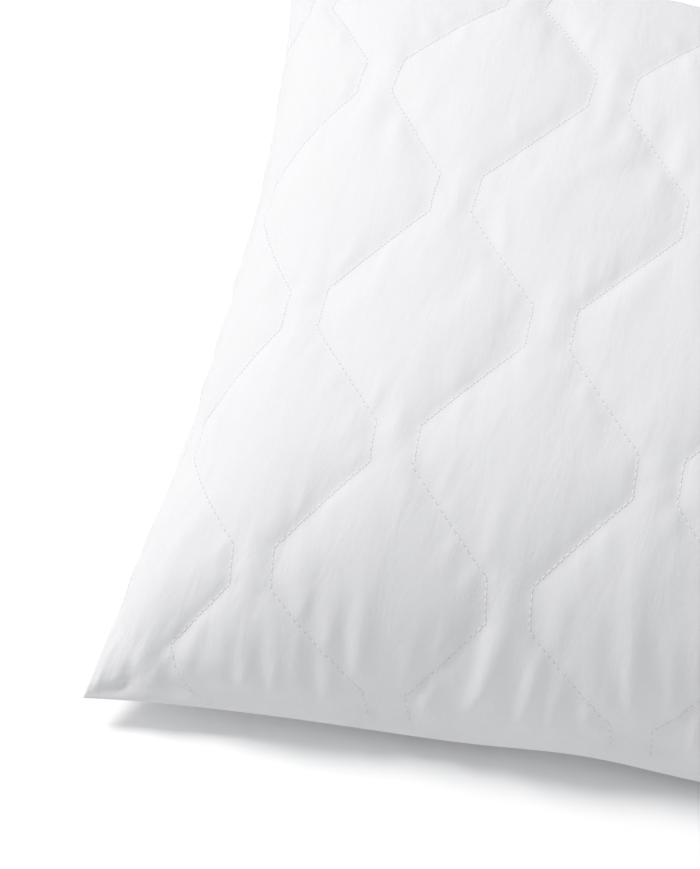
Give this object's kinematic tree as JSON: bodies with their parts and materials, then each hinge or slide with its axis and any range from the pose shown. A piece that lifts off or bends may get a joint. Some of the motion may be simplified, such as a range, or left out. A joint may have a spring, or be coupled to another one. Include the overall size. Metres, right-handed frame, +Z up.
{
  "type": "bed pillow",
  "caption": "Plump rectangular bed pillow with ogee-quilted cotton covers over wadding, sewn round its edges over a loose fibre filling.",
  "frame": {"origin": "on the surface the pillow rests on, under the middle of its length and width", "axes": "+X along the length, +Y across the width towards the long edge with the closing seam, +Z up"},
  "size_m": [0.682, 0.482, 0.1612],
  "materials": {
    "cotton": "matt fine cotton percale",
    "wadding": "matt needled fibre",
    "backing": "matt thin non-woven",
    "filling": "matt loose fibre",
    "thread": "matt spun thread",
    "label": "satin woven tape"
  },
  "bodies": {
    "root": {"top_cover_fabric": "cotton", "top_wadding": "wadding", "top_backing": "backing", "top_quilting_thread_01": "thread", "top_quilting_thread_02": "thread", "top_quilting_thread_03": "thread", "top_quilting_thread_04": "thread", "top_quilting_thread_05": "thread", "top_quilting_thread_06": "thread", "top_quilting_thread_07": "thread", "top_quilting_thread_08": "thread", "top_quilting_thread_09": "thread", "top_quilting_thread_10": "thread", "top_quilting_thread_11": "thread", "bottom_cover_fabric": "cotton", "bottom_wadding": "wadding", "bottom_backing": "backing", "bottom_quilting_thread_01": "thread", "bottom_quilting_thread_02": "thread", "bottom_quilting_thread_03": "thread", "bottom_quilting_thread_04": "thread", "bottom_quilting_thread_05": "thread", "bottom_quilting_thread_06": "thread", "bottom_quilting_thread_07": "thread", "bottom_quilting_thread_08": "thread", "bottom_quilting_thread_09": "thread", "bottom_quilting_thread_10": "thread", "bottom_quilting_thread_11": "thread", "fibre_filling": "filling", "perimeter_seam_thread": "thread", "closing_seam_thread": "thread", "care_label": "label"}
  },
  "joints": []
}
